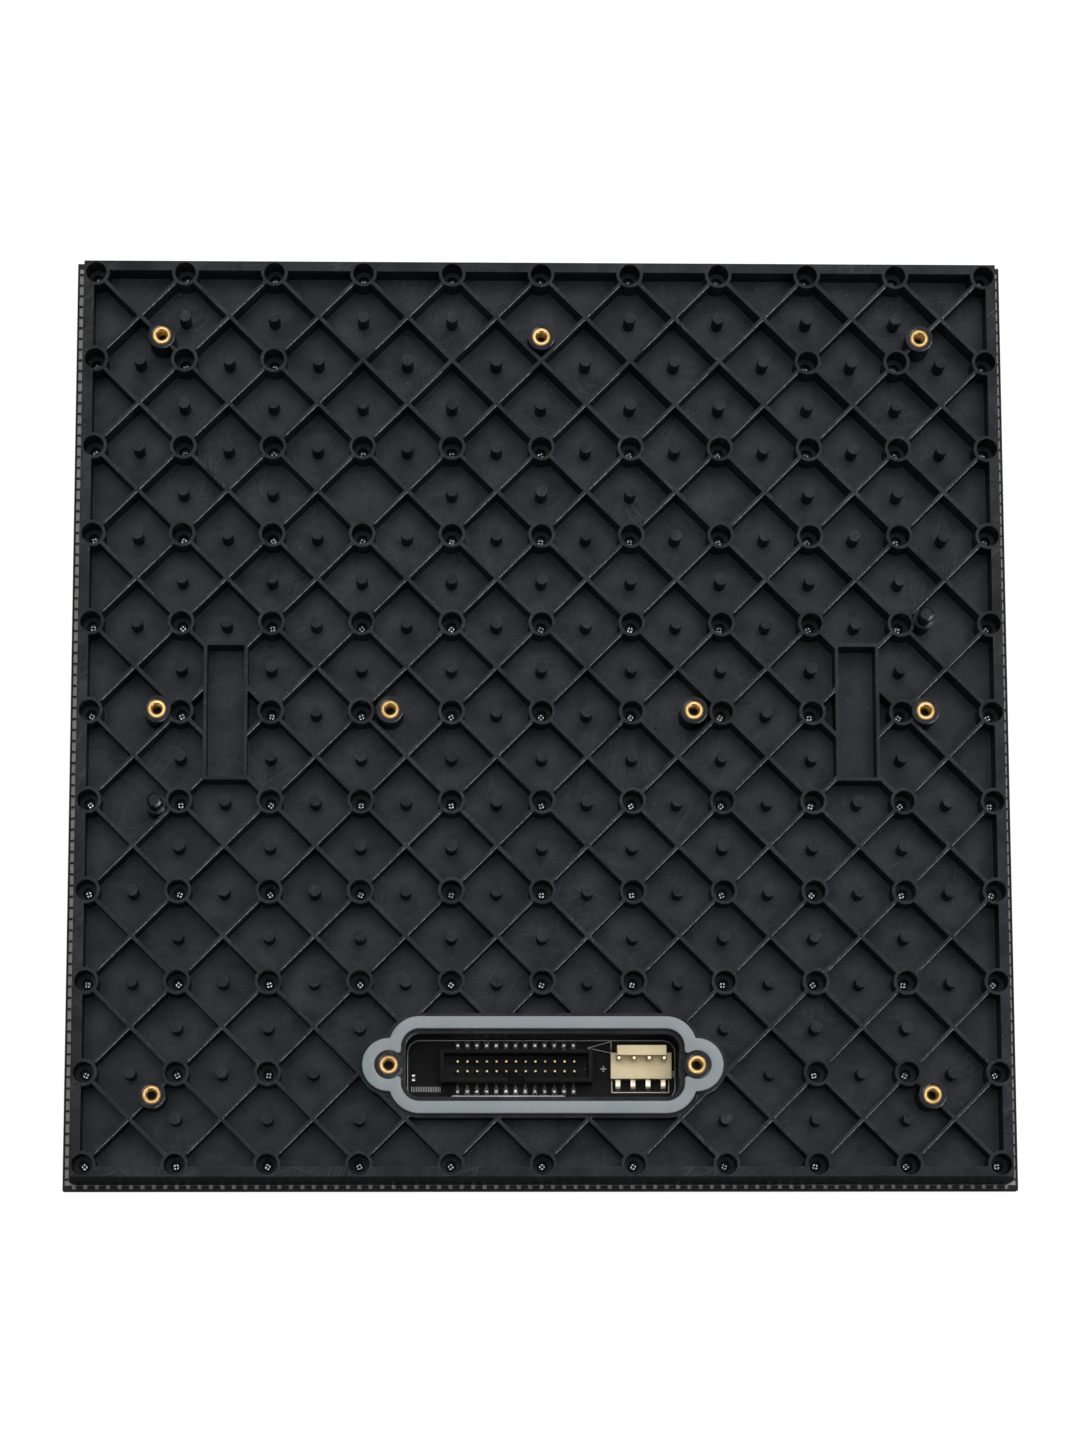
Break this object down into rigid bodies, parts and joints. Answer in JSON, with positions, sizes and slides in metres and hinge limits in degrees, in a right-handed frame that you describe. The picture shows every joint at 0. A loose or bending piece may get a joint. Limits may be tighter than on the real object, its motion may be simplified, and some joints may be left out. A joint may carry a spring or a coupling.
{
  "type": "led display module",
  "caption": "Square LED display module with a louvred lamp face and a ribbed black rear shell that carries threaded inserts, locating pins and a gasketed connector bay.",
  "frame": {"origin": "middle of the lamp face, which lies on the floor", "axes": "+X along the lamp rows, +Y away from the connector bay, +Z out of the back of the module"},
  "size_m": [0.25, 0.25, 0.026],
  "materials": {
    "shell_plastic": "fine matt moulding",
    "mask_plastic": "fine matt moulding",
    "board_laminate": "black solder mask",
    "lamp_resin": "dark resin",
    "insert_brass": "bright turned",
    "screw_steel": "zinc plated",
    "gasket_rubber": "matt silicone",
    "header_plastic": "glass filled moulding",
    "pin_gold": "gilt",
    "wafer_plastic": "natural nylon",
    "contact_tin": "matt tin",
    "chip_epoxy": "moulded epoxy",
    "capacitor_resin": "moulded resin",
    "capacitor_ceramic": "fired ceramic",
    "resistor_ceramic": "glazed ceramic"
  },
  "bodies": {
    "root": {"front_mask": "mask_plastic", "led_lamps": "lamp_resin", "circuit_board": "board_laminate", "rear_shell": "shell_plastic", "threaded_inserts": "insert_brass", "assembly_screws": "screw_steel", "connector_gasket": "gasket_rubber", "signal_header_housing": "header_plastic", "signal_header_pins": "pin_gold", "power_header_housing": "wafer_plastic", "power_header_pins": "contact_tin", "driver_chips": "chip_epoxy", "row_switch_chips": "chip_epoxy", "signal_buffer_chips": "chip_epoxy", "memory_chip": "chip_epoxy", "bulk_capacitors": "capacitor_resin", "bypass_capacitors": "capacitor_ceramic", "current_resistors": "resistor_ceramic", "termination_resistors": "resistor_ceramic", "bay_resistor": "resistor_ceramic"}
  },
  "joints": []
}
